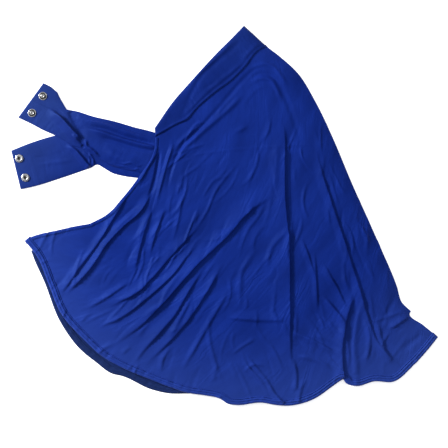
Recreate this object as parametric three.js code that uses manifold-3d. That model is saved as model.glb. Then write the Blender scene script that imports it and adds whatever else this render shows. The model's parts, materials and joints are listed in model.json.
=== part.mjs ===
// A superhero cape of stretch knit, folded in half down the centre of its back and laid flat.
// The upper half lies on the lower half. Each end of the neck band runs on as a strap that ends in
// two press studs: the studs are on the upper strap and the sockets on the lower one.
// Millimetres, +Z up. X runs across the folded cape, Y runs towards the neck, and Z = 0 is the
// surface that it lies on. The origin is the middle of the spread cape, on that surface.
import * as THREE from "three";
import { mergeVertices } from "three/addons/utils/BufferGeometryUtils.js";
import Module from "manifold-3d";

// Driving dimensions
const capeWidth = 703; // front corner of the hem to the corner at the back fold
const capeLength = 650; // neck fold to the lowest point of the hem
const neckBandWidth = 48;
const hemWidth = 12;
const strapWidth = 72;
const strapLength = 237;
const clothThickness = 0.6;
const seamGap = 0.3; // between two sewn or riveted pieces

// Heights that the cloth lies at
const turnedThickness = 3 * clothThickness; // a hem or a band, where the cloth is turned in
const strapThickness = 2 * clothThickness;
const lowerLayerZ = 0;
const lowerRootZ = turnedThickness + seamGap; // the lower strap is sewn on top of the lower layer
const upperStrapZ = lowerRootZ + strapThickness + seamGap; // and the upper strap crosses over it
const upperLayerZ = upperStrapZ + strapThickness + 2 * seamGap;
const foldEdgeZ = 2.4; // the upper layer comes down to this at the back fold
const foldEase = 34; // and takes this distance to come down
const lowerInset = 7; // the hidden edges of the lower layer lie inside the upper ones
const rootEase = [34, 70]; // the lower strap comes down off the cape between these distances

// Straps
const strapRootLength = 34; // the part of the upper strap that stays with the cape
const lowerStrapFreeLength = 66; // the part of the lower strap that the upper one leaves free
const hingeGap = 0.6; // between a strap's root and its free part
const plyColumns = 18; // fine enough to follow the strap's fold
const strapRows = 8;
const stayLength = 26; // the stiff patch inside the strap's end
const stayInset = 4;
const stayThickness = 0.5;
const stayTaper = 12; // the two plies come together over this distance
const stayEnd = stayInset + stayLength;

// Press studs
const fastenerDiameter = 14;
const fastenerSpacing = 34;
const studInset = 15; // upper strap's end to stud centres
const socketInset = 12; // lower strap's end to socket centres
const barrelRadius = 2.3; // the rivet barrel through the cloth
const flangeThickness = 0.8;
const studRadius = 3.4;
const studHeight = 3.2; // above its flange
const socketHeight = 2.6;
const borerLength = 60; // longer than any stack of cloth that it pierces
const springRadius = 4.1;
const springWireRadius = 0.35;
const capThickness = 1.6;

// ---------------------------------------------------------------- outlines
// A place on the spread cape, as shares of its width and length from the middle.
const spot = ([x, y]) => new THREE.Vector2(x * capeWidth, y * capeLength);
const smoothLine = (shares) => new THREE.SplineCurve(shares.map(spot));

// The vector to the right of a curve's direction at t.
function rightOf(curve, t) {
  const along = curve.getTangentAt(t);
  return new THREE.Vector2(along.y, -along.x);
}

const neckFold = smoothLine([
  [-0.171, 0.232],
  [-0.125, 0.302],
  [-0.081, 0.357],
  [-0.023, 0.426],
  [0.045, 0.5],
]);

// A point of the neck band: u runs along it to the back fold, share from its top edge to its seam.
function bandPoint(u, share) {
  const turn = THREE.MathUtils.smoothstep(u, 0, 0.25);
  const across = new THREE.Vector2(0, -1).lerp(rightOf(neckFold, u), turn).normalize();
  const width = neckBandWidth * (0.35 + 0.85 * (1 - (1 - u) ** 2));
  return neckFold.getPointAt(u).addScaledVector(across, width * share);
}

const upperHemEdge = smoothLine([
  [-0.485, -0.062],
  [-0.423, -0.204],
  [-0.359, -0.316],
  [-0.25, -0.399],
  [-0.099, -0.46],
  [0.089, -0.488],
  [0.15, -0.494],
  [0.211, -0.476],
  [0.284, -0.432],
  [0.35, -0.441],
  [0.43, -0.412],
  [0.514, -0.315],
]);

const lowerHemEdge = smoothLine([
  [-0.462, -0.068],
  [-0.433, -0.19],
  [-0.374, -0.319],
  [-0.285, -0.401],
  [-0.178, -0.452],
  [-0.05, -0.47],
  [0.14, -0.48],
  [0.28, -0.424],
  [0.4, -0.42],
  [0.514, -0.315],
]);

// A point of a hem: u runs along it to the back fold, inset is the distance in from its edge.
function hemPoint(edge, u, inset) {
  return edge.getPointAt(u).addScaledVector(rightOf(edge, u), -inset);
}

const panelInset = hemWidth + seamGap;

// The front edge of a layer, from the neck band's end down to the hem.
function frontEdge(hemEdge, inset) {
  const shares = [
    [-0.171, 0.183],
    [-0.213, 0.1],
    [-0.283, 0.007],
    [-0.327, -0.018],
    [-0.399, -0.033],
  ];
  const shift = new THREE.Vector2(0.6, -1).multiplyScalar(inset);
  const middle = shares.map(spot).map((point) => point.add(shift));
  const corner = hemPoint(hemEdge, 0, panelInset);
  return new THREE.SplineCurve([bandPoint(0, 1), ...middle, corner]);
}

// The folded edge down the centre of the back.
function backFold(hemEdge) {
  const shares = [
    [0.175, 0.374],
    [0.218, 0.3],
    [0.304, 0.09],
    [0.391, -0.121],
    [0.448, -0.252],
  ];
  const corner = hemPoint(hemEdge, 1, panelInset);
  return new THREE.SplineCurve([bandPoint(1, 1), ...shares.map(spot), corner]);
}

const seamLine = (u) => bandPoint(u, 1 + seamGap / neckBandWidth);

// Fills four edges: top and bottom run left to right, left and right run top to bottom.
function patch(top, bottom, left, right) {
  const blend = (a, b, t) => a.clone().lerp(b, t);
  return (u, v) => {
    const fromEnds = blend(top(u), bottom(u), v);
    const fromSides = blend(left.getPointAt(v), right.getPointAt(v), u);
    const corners = blend(blend(top(0), bottom(0), v), blend(top(1), bottom(1), v), u);
    return fromEnds.add(fromSides).sub(corners);
  };
}

// ---------------------------------------------------------------- folds of the upper layer
const foldRidge = (height, halfWidth, shares) => {
  const line = smoothLine(shares).getPoints(10);
  return { height, halfWidth, line };
};

const foldRidges = [
  foldRidge(5, 20, [[-0.229, 0.067], [-0.391, -0.184], [-0.4, -0.23]]),
  foldRidge(4, 18, [[-0.12, 0.17], [-0.142, 0.099], [-0.17, -0.05]]),
  foldRidge(8, 18, [[0.107, 0.052], [0.003, -0.003], [-0.142, -0.184], [-0.309, -0.301]]),
  foldRidge(5, 16, [[-0.04, -0.011], [-0.113, -0.137], [-0.28, -0.317]]),
  foldRidge(5, 16, [[0.003, -0.105], [-0.098, -0.278], [-0.2, -0.38]]),
  foldRidge(8, 20, [[0.13, 0.24], [0.144, 0.09], [0.148, -0.215], [0.15, -0.44]]),
  foldRidge(6, 20, [[0.214, 0.193], [0.272, -0.058], [0.349, -0.278], [0.39, -0.37]]),
  foldRidge(5, 16, [[0.313, -0.184], [0.29, -0.278], [0.3, -0.4]]),
  foldRidge(4, 18, [[0.09, 0.39], [-0.01, 0.31], [-0.1, 0.205]]),
];

function distanceToLine(point, line) {
  const nearest = line.slice(1).map((end, i) => {
    const run = end.clone().sub(line[i]);
    const share = point.clone().sub(line[i]).dot(run) / run.lengthSq();
    const along = THREE.MathUtils.clamp(share, 0, 1);
    return line[i].clone().addScaledVector(run, along).distanceTo(point);
  });
  return Math.min(...nearest);
}

function ridgeLift(point, ridge) {
  const share = 1 - distanceToLine(point, ridge.line) / ridge.halfWidth;
  return ridge.height * THREE.MathUtils.smoothstep(share, 0, 1);
}

const backFoldLine = backFold(upperHemEdge).getPoints(24);

// The underside of the upper layer at a place on the cape.
function upperLayerHeight(point) {
  const ease = THREE.MathUtils.smoothstep(distanceToLine(point, backFoldLine), 0, foldEase);
  const lift = Math.max(...foldRidges.map((ridge) => ridgeLift(point, ridge)));
  return THREE.MathUtils.lerp(foldEdgeZ, upperLayerZ + lift, ease);
}

const onLowerLayer = (point) => new THREE.Vector3(point.x, point.y, lowerLayerZ);
const onUpperLayer = (point) => new THREE.Vector3(point.x, point.y, upperLayerHeight(point));

// ---------------------------------------------------------------- solids
// The border of a grid of points, anticlockwise from its top left.
function borderLoop(columns, rows) {
  const at = (column, row) => column + row * (columns + 1);
  const loop = [];
  for (let row = 0; row < rows; row++) loop.push(at(0, row));
  for (let column = 0; column < columns; column++) loop.push(at(column, rows));
  for (let row = rows; row > 0; row--) loop.push(at(columns, row));
  for (let column = columns; column > 0; column--) loop.push(at(column, 0));
  return loop;
}

// A closed sheet of even thickness. Its underside is at place(u, v), u to the right and v downwards.
function sheet(place, columns, rows, thickness) {
  const grid = new THREE.PlaneGeometry(1, 1, columns, rows);
  const flat = grid.getAttribute("position");
  const count = flat.count;
  const positions = new Float32Array(6 * count);
  for (let i = 0; i < count; i++) {
    const point = place(flat.getX(i) + 0.5, 0.5 - flat.getY(i));
    positions.set([point.x, point.y, point.z], 3 * i);
    positions.set([point.x, point.y, point.z + thickness], 3 * (i + count));
  }
  const face = Array.from(grid.index.array);
  const top = face.map((i) => i + count);
  const underside = face.toReversed();
  const border = borderLoop(columns, rows);
  const sides = border.flatMap((a, i) => {
    const b = border[(i + 1) % border.length];
    return [a, b, b + count, a, b + count, a + count];
  });
  const geometry = new THREE.BufferGeometry();
  geometry.setAttribute("position", new THREE.BufferAttribute(positions, 3));
  geometry.setIndex([...underside, ...top, ...sides]);
  geometry.computeVertexNormals();
  return geometry;
}

const wasm = await Module();
wasm.setup();

function toSolid(geometry) {
  const bare = geometry.clone().deleteAttribute("normal").deleteAttribute("uv");
  const merged = mergeVertices(bare, 1e-3);
  const vertProperties = merged.getAttribute("position").array;
  const triVerts = new Uint32Array(merged.index.array);
  return new wasm.Manifold(new wasm.Mesh({ numProp: 3, vertProperties, triVerts }));
}

function toGeometry(solid) {
  const mesh = solid.getMesh();
  const geometry = new THREE.BufferGeometry();
  geometry.setAttribute("position", new THREE.BufferAttribute(mesh.vertProperties, 3));
  geometry.setIndex(new THREE.BufferAttribute(mesh.triVerts, 1));
  geometry.computeVertexNormals();
  return geometry;
}

// Cuts a round upright hole through a sheet at each place.
function pierce(geometry, places, radius) {
  let solid = toSolid(geometry);
  for (const place of places) {
    const tool = new THREE.CylinderGeometry(radius, radius, borerLength, 16);
    tool.rotateX(Math.PI / 2);
    tool.translate(place.x, place.y, 0);
    solid = solid.subtract(toSolid(tool));
  }
  return toGeometry(solid);
}

// A turned piece from its profile of [radius, height] points, standing on +Z.
function turned(profile) {
  const points = profile.map(([radius, height]) => new THREE.Vector2(radius, height));
  return new THREE.LatheGeometry(points, 20).rotateX(Math.PI / 2);
}

// ---------------------------------------------------------------- straps
// The middle line of a strap from under the cape to its end: each leg is a share of the strap's
// length and a heading in degrees. start is in strap widths from the neck band's end.
function strapRun(start, legs) {
  const points = [bandPoint(0, 1).add(new THREE.Vector2(...start).multiplyScalar(strapWidth))];
  for (const [share, heading] of legs) {
    const angle = THREE.MathUtils.degToRad(heading);
    const leg = new THREE.Vector2(Math.cos(angle), Math.sin(angle)).multiplyScalar(share * strapLength);
    points.push(points.at(-1).clone().add(leg));
  }
  return new THREE.SplineCurve(points);
}

const upperRun = strapRun(
  [0.06, -0.35],
  [[0.287, 171], [0.211, 155.5], [0.185, 155], [0.317, 148]],
);
const lowerRun = strapRun(
  [-0.07, -0.49],
  [[0.266, 169.3], [0.224, 176.8], [0.232, 195.3], [0.279, 197.4]],
);

// A point of a strap: fromEnd is the distance back from its free end, side the distance towards
// its neck edge from the middle line.
function strapPoint(run, fromEnd, side) {
  const t = 1 - fromEnd / run.getLength();
  return run.getPointAt(t).addScaledVector(rightOf(run, t), side);
}

// The long slanting fold across the upper strap, as distances from its end and its middle.
const strapFold = {
  height: 7,
  halfWidth: 13,
  line: [[52, 30], [68, 8], [105, -16], [118, -36]].map(([x, y]) => new THREE.Vector2(x, y)),
};
const upperRise = [stayEnd + 10, stayEnd + 45]; // a strap changes height between these distances
const lowerRise = [stayEnd + 4, stayEnd + 30];

function upperStrapHeight(fromEnd, side) {
  const seat = flangeThickness + 2 * seamGap;
  const share = THREE.MathUtils.smoothstep(fromEnd, ...upperRise);
  const fold = ridgeLift(new THREE.Vector2(fromEnd, side), strapFold);
  return THREE.MathUtils.lerp(seat, upperStrapZ, share) + fold;
}

function lowerStrapHeight(fromEnd) {
  const seat = capThickness + seamGap;
  const share = THREE.MathUtils.smoothstep(fromEnd, ...lowerRise);
  return THREE.MathUtils.lerp(seat, lowerLayerZ, share);
}

const upperStrap = {
  run: upperRun,
  height: upperStrapHeight,
  length: upperRun.getLength() - strapRootLength,
  fastenerInset: studInset,
};
const lowerStrap = {
  run: lowerRun,
  height: lowerStrapHeight,
  length: lowerStrapFreeLength,
  fastenerInset: socketInset,
};

// A layer of a strap's free part from one distance to another, lifted off the strap's underside.
function strapLayer(strap, from, to, width, lift, thickness, columns) {
  const place = (u, v) => {
    const fromEnd = THREE.MathUtils.lerp(from, to, u);
    const side = width * (0.5 - v);
    const point = strapPoint(strap.run, fromEnd, side);
    return new THREE.Vector3(point.x, point.y, strap.height(fromEnd, side) + lift(fromEnd));
  };
  const layer = sheet(place, columns, strapRows, thickness);
  return pierce(layer, fastenerCentres(strap), barrelRadius + seamGap);
}

function fastenerCentres(strap) {
  const sides = [fastenerSpacing / 2, -fastenerSpacing / 2];
  return sides.map((side) => strapPoint(strap.run, strap.fastenerInset, side));
}

const noLift = () => 0;
const stayLift = () => clothThickness + seamGap;
const stayStack = stayThickness + 2 * seamGap;

// The outer ply stands off the inner one by the stay, and closes up beyond it.
const outerPlyLift = (fromEnd) => {
  const closed = THREE.MathUtils.smoothstep(fromEnd, stayEnd, stayEnd + stayTaper);
  return clothThickness + THREE.MathUtils.lerp(stayStack, seamGap, closed);
};

// The part of a strap that stays with the cape, from a distance back from the strap's end.
function strapRoot(run, from, height) {
  const place = (u, v) => {
    const fromEnd = THREE.MathUtils.lerp(from, run.getLength(), u);
    const point = strapPoint(run, fromEnd, strapWidth * (0.5 - v));
    return new THREE.Vector3(point.x, point.y, height(run.getLength() - fromEnd));
  };
  return sheet(place, 12, 2, strapThickness);
}

const upperRootHeight = () => upperStrapZ;

function lowerRootHeight(fromStart) {
  const share = THREE.MathUtils.smoothstep(fromStart, ...rootEase);
  return THREE.MathUtils.lerp(lowerRootZ, lowerLayerZ, share);
}

// ---------------------------------------------------------------- press studs
const flangeRadius = fastenerDiameter / 2;
const boreRadius = barrelRadius + seamGap;
const plyStack = 2 * clothThickness + stayStack;

// The flat ring and barrel under the upper strap, which rivet the stud on.
const studEyelet = () => [
  [0, 0],
  [flangeRadius - 0.4, 0],
  [flangeRadius, 0.3],
  [flangeRadius - 0.2, flangeThickness],
  [barrelRadius, flangeThickness],
  [barrelRadius, flangeThickness + plyStack + studHeight],
  [0, flangeThickness + plyStack + studHeight],
];

const stud = () => [
  [boreRadius, 0],
  [flangeRadius - 0.3, 0],
  [flangeRadius, 0.35],
  [flangeRadius - 0.9, flangeThickness],
  [studRadius - 0.2, flangeThickness],
  [studRadius - 0.2, flangeThickness + 0.45 * studHeight],
  [studRadius, flangeThickness + 0.75 * studHeight],
  [studRadius - 0.3, flangeThickness + studHeight],
  [boreRadius, flangeThickness + studHeight],
  [boreRadius, 0],
];

// The domed cap and barrel under the lower strap, which rivet the socket on.
const socketCap = () => [
  [0, 0],
  [0.55 * flangeRadius, 0.12],
  [flangeRadius - 0.5, 0.6],
  [flangeRadius, 1.1],
  [flangeRadius - 0.3, capThickness],
  [barrelRadius, capThickness],
  [barrelRadius, capThickness + plyStack + 2 * seamGap + 0.5],
  [0, capThickness + plyStack + 2 * seamGap + 0.5],
];

const socket = () => [
  [boreRadius, 0],
  [flangeRadius - 0.3, 0],
  [flangeRadius, 0.35],
  [flangeRadius - 0.7, flangeThickness],
  [springRadius + 2, flangeThickness + 0.3],
  [springRadius + 1.5, socketHeight],
  [studRadius, socketHeight],
  [studRadius, socketHeight - 0.5],
  [springRadius + 0.9, socketHeight - 0.7],
  [springRadius + 0.9, flangeThickness],
  [boreRadius, flangeThickness - 0.2],
  [boreRadius, 0],
];

// The open ring of spring wire that grips the stud inside its socket.
function springRing() {
  const opening = Math.PI / 5;
  const points = [];
  for (let i = 0; i <= 12; i++) {
    const angle = THREE.MathUtils.lerp(opening, 2 * Math.PI - opening, i / 12);
    const across = springRadius * Math.cos(angle);
    points.push(new THREE.Vector3(across, springRadius * Math.sin(angle), 0));
  }
  const wire = new THREE.Shape().absarc(0, 0, springWireRadius, 0, 2 * Math.PI);
  const extrudePath = new THREE.CatmullRomCurve3(points);
  return new THREE.ExtrudeGeometry(wire, { steps: 14, curveSegments: 3, extrudePath });
}

// ---------------------------------------------------------------- assembly
const knit = new THREE.MeshStandardMaterial({ color: 0x17309a, roughness: 0.75, metalness: 0 });
const interfacing = new THREE.MeshStandardMaterial({ color: 0xd8d8d2, roughness: 0.95, metalness: 0 });
const nickel = new THREE.MeshStandardMaterial({ color: 0xb9bec4, roughness: 0.25, metalness: 1 });
const springSteel = new THREE.MeshStandardMaterial({ color: 0x8d9095, roughness: 0.35, metalness: 1 });

const cape = new THREE.Group();

function add(name, geometry, material, place = new THREE.Vector3()) {
  const mesh = new THREE.Mesh(geometry, material);
  mesh.name = name;
  mesh.position.copy(place);
  cape.add(mesh);
}

// One layer of the cape: its panel, its hem and its half of the neck band.
function addLayer(prefix, hemEdge, frontInset, onLayer, columns, rows) {
  const hemLine = (u) => hemPoint(hemEdge, u, panelInset);
  const spread = patch(seamLine, hemLine, frontEdge(hemEdge, frontInset), backFold(hemEdge));
  const panelPlace = (u, v) => onLayer(spread(u, v));
  const hemPlace = (u, v) => onLayer(hemPoint(hemEdge, u, hemWidth * v));
  const bandPlace = (u, v) => onLayer(bandPoint(u, v));
  add(`${prefix}_panel`, sheet(panelPlace, columns, rows, clothThickness), knit);
  add(`${prefix}_hem`, sheet((u, v) => hemPlace(u, 1 - v), columns, 1, turnedThickness), knit);
  add(`${prefix}_neck_band`, sheet(bandPlace, columns, 2, turnedThickness), knit);
}

function addStrapEnd(prefix, strap) {
  const end = strap.length - hingeGap;
  const ply = (lift) => strapLayer(strap, 0, end, strapWidth, lift, clothThickness, plyColumns);
  add(`${prefix}_strap_inner_ply`, ply(noLift), knit);
  add(`${prefix}_strap_outer_ply`, ply(outerPlyLift), knit);
  const stayWidth = strapWidth - 2 * stayInset;
  const stay = strapLayer(strap, stayInset, stayEnd, stayWidth, stayLift, stayThickness, 4);
  add(`${prefix}_strap_stay`, stay, interfacing);
}

function addFasteners(strap, z, parts) {
  fastenerCentres(strap).forEach((centre, i) => {
    for (const { name, geometry, material, lift } of parts)
      add(`${name}_${i + 1}`, geometry(), material, new THREE.Vector3(centre.x, centre.y, z + lift));
  });
}

addLayer("lower", lowerHemEdge, lowerInset, onLowerLayer, 28, 8);
add("lower_strap_root", strapRoot(lowerRun, lowerStrapFreeLength, lowerRootHeight), knit);
addLayer("upper", upperHemEdge, 0, onUpperLayer, 28, 22);
add("upper_strap_root", strapRoot(upperRun, upperStrap.length, upperRootHeight), knit);

addStrapEnd("upper", upperStrap);
const studZ = flangeThickness + plyStack + 2 * seamGap;
addFasteners(upperStrap, seamGap, [
  { name: "stud_eyelet", geometry: () => turned(studEyelet()), material: nickel, lift: 0 },
  { name: "stud", geometry: () => turned(stud()), material: nickel, lift: studZ },
]);

const socketZ = capThickness + plyStack + 2 * seamGap;
const springZ = socketZ + (flangeThickness + socketHeight - 0.7) / 2;
addStrapEnd("lower", lowerStrap);
addFasteners(lowerStrap, lowerLayerZ, [
  { name: "socket_cap", geometry: () => turned(socketCap()), material: nickel, lift: 0 },
  { name: "socket", geometry: () => turned(socket()), material: nickel, lift: socketZ },
  { name: "socket_spring", geometry: springRing, material: springSteel, lift: springZ },
]);

const middle = new THREE.Box3().setFromObject(cape).getCenter(new THREE.Vector3());
cape.position.set(-middle.x, -middle.y, 0);

export default cape;
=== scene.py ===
# A superhero cape of blue stretch knit, folded down the centre of its back and laid flat, with its
# two straps and their press studs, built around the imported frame. Metres, +Z up.
import json
import math

import bmesh
import bpy
import numpy as np
from mathutils import Matrix, Vector


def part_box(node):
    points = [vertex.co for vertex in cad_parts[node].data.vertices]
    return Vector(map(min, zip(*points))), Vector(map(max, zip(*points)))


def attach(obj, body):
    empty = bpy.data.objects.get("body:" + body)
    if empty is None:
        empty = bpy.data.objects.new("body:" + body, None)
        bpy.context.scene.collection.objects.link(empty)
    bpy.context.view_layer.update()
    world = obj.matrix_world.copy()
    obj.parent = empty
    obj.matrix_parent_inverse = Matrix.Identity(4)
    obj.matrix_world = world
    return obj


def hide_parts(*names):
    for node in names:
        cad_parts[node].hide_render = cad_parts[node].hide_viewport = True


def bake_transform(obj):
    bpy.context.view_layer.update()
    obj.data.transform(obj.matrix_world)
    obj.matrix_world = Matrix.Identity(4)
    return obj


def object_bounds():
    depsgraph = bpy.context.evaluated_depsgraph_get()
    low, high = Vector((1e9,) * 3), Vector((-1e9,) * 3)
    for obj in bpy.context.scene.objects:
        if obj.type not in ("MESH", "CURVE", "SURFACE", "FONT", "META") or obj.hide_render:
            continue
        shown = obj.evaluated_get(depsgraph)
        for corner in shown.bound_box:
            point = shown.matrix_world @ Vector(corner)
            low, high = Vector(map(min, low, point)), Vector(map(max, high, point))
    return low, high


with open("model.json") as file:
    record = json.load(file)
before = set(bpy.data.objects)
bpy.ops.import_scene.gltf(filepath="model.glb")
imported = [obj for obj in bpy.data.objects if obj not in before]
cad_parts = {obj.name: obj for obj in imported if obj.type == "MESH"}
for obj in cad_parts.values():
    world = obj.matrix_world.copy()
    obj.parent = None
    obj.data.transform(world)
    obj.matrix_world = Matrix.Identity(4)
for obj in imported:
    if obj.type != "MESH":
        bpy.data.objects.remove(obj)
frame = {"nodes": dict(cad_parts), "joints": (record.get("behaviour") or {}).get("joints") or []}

MM = 0.001
CAD_LOW, CAD_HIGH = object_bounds()
SPAN = np.array([CAD_HIGH.x - CAD_LOW.x, CAD_HIGH.y - CAD_LOW.y])
MIDDLE = np.array([CAD_HIGH.x + CAD_LOW.x, CAD_HIGH.y + CAD_LOW.y]) / 2

# Heights of the cloth
FLOOR_DROP = 0.3 * MM
LOWER_Z = 0.5 * MM
UPPER_Z = 6.4 * MM
UPPER_FLOOR = 4.35 * MM  # the upper layer stays above this, except where it turns over the back fold
UPPER_CEILING = CAD_HIGH.z - 0.3 * MM
UPPER_ROOM = 3.2 * MM  # tall folds are flattened softly over this much below the ceiling
FOLD_Z = 0.9 * MM  # where the two layers meet at the back fold
UPPER_EASE, LOWER_EASE = 30 * MM, 9 * MM  # how far from the back fold each layer starts towards it

# Distances in from an edge: how wide a turning is, where the cloth under it ends, where it is sewn
HEM_WIDTH, HEM_TUCK, HEM_SEWN = 12 * MM, 7 * MM, 9.6 * MM
FRONT_WIDTH, FRONT_TUCK, FRONT_SEWN = 6 * MM, 8 * MM, 6.6 * MM
SEAM_TUCK, SEAM_SEWN = 4 * MM, 1.2 * MM
END_ROUNDING = 1.6 * MM
RIPPLE_LENGTH = 7 * MM
GROOVES = ((0.80, 0.06, 1.0), (0.42, 0.07, 0.7))  # across a hem: each one's share, width and depth
STAY_START, STAY_END = 7 * MM, 30 * MM
STITCH_GAP = 3.1 * MM
STITCH_HALVES = (1.35 * MM, 0.50 * MM, 0.34 * MM)
STITCH_START = 14  # the front edge's first points, next to the neck seam, are left unsewn
TURNED_STEPS = 56

# Painted sheen: the cloth is paler away from a centre near the cape's middle, in shares of its size
SHEEN_CENTRE = (0.05, 0.05)
SHEEN_START, SHEEN_RUN = 0.30, 0.42

# Where the small wrinkles start, in shares, and how far they stray from the folds near them
STREWN_X, STREWN_Y = (-0.42, 0.46), (-0.47, 0.36)
STREWN_NEAR = 30 * MM
STRAY, BEND = 0.22, 0.25
WAVER = 0.16  # how unevenly a fold's height and width run along it


# ---------------------------------------------------------------- lines
def spot(shares):
    """Places on the spread cape from shares of its width and length, from its middle."""
    return MIDDLE + np.array(shares, float) * SPAN


def lengths(points):
    """The distance along a line at each of its points."""
    steps = np.linalg.norm(np.diff(points, axis=0), axis=1)
    return np.concatenate([[0.0], np.cumsum(steps)])


def spread(points, at):
    """The points at given shares of a line's length."""
    run = lengths(points)
    where = np.asarray(at) * run[-1]
    return np.stack([np.interp(where, run, points[:, i]) for i in range(2)], axis=1)


def smooth_run(points):
    """A smooth curve through points, as many short steps."""
    gaps = np.maximum(np.linalg.norm(np.diff(points, axis=0), axis=1), 1e-9)[:, None]
    slopes = np.diff(points, axis=0) / gaps
    inner = (slopes[:-1] * gaps[1:] + slopes[1:] * gaps[:-1]) / (gaps[:-1] + gaps[1:])
    tangents = np.vstack([slopes[:1], inner, slopes[-1:]])
    t = np.linspace(0, 1, 14, endpoint=False)[:, None]
    bits = []
    for a, b, ta, tb, gap in zip(points, points[1:], tangents, tangents[1:], gaps):
        ends = a * (2 * t**3 - 3 * t**2 + 1) + b * (3 * t**2 - 2 * t**3)
        pulls = ta * (t**3 - 2 * t**2 + t) + tb * (t**3 - t**2)
        bits.append(ends + pulls * gap)
    return np.vstack([*bits, points[-1:]])


def line(*runs):
    """A line of smooth runs, each given as shares, that meet at corners."""
    parts = [smooth_run(spot(run)) for run in runs]
    return np.vstack([parts[0], *[part[1:] for part in parts[1:]]])


def left_of(points):
    """The unit vector to the left of a line's run at each of its points."""
    along = np.gradient(points, axis=0)
    along /= np.maximum(np.linalg.norm(along, axis=1), 1e-9)[:, None]
    return np.stack([-along[:, 1], along[:, 0]], axis=1)


def beside(points, path):
    """For each place: its distance from a path, left being positive, the share along the path, and
    the path's left there."""
    run = lengths(path)
    best = np.full(len(points), np.inf)
    side = np.zeros(len(points))
    share = np.zeros(len(points))
    left = np.zeros((len(points), 2))
    for a, b, start in zip(path, path[1:], run):
        step = b - a
        size = np.linalg.norm(step)
        away = points - a
        t = np.clip(away @ step / size**2, 0, 1)
        distance = np.linalg.norm(away - t[:, None] * step, axis=1)
        nearer = distance < best
        sign = np.where(step[0] * away[:, 1] - step[1] * away[:, 0] > 0, 1, -1)
        best = np.where(nearer, distance, best)
        side = np.where(nearer, distance * sign, side)
        share = np.where(nearer, (start + t * size) / run[-1], share)
        left[nearer] = np.array([-step[1], step[0]]) / size
    return side, share, left


def ramp(t):
    """Rises smoothly from 0 to 1."""
    t = np.clip(t, 0, 1)
    return t * t * (3 - 2 * t)


# ---------------------------------------------------------------- unevenness
def cloudy(x, y, seed, octaves=3):
    """Smooth random unevenness from -1 to 1 over a plane, one bump per unit."""
    x, y = np.broadcast_arrays(x, y)
    total, weight = np.zeros(x.shape), 0.0
    for octave in range(octaves):
        table = np.random.default_rng(seed + octave).uniform(-1, 1, (64, 64))
        px, py = x * 2**octave, y * 2**octave
        ix, iy = np.floor(px).astype(int), np.floor(py).astype(int)
        fx, fy = ramp(px - ix), ramp(py - iy)
        a, b = table[ix % 64, iy % 64], table[(ix + 1) % 64, iy % 64]
        c, d = table[ix % 64, (iy + 1) % 64], table[(ix + 1) % 64, (iy + 1) % 64]
        total += ((a * (1 - fx) + b * fx) * (1 - fy) + (c * (1 - fx) + d * fx) * fy) / 2**octave
        weight += 1 / 2**octave
    return total / weight


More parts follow.
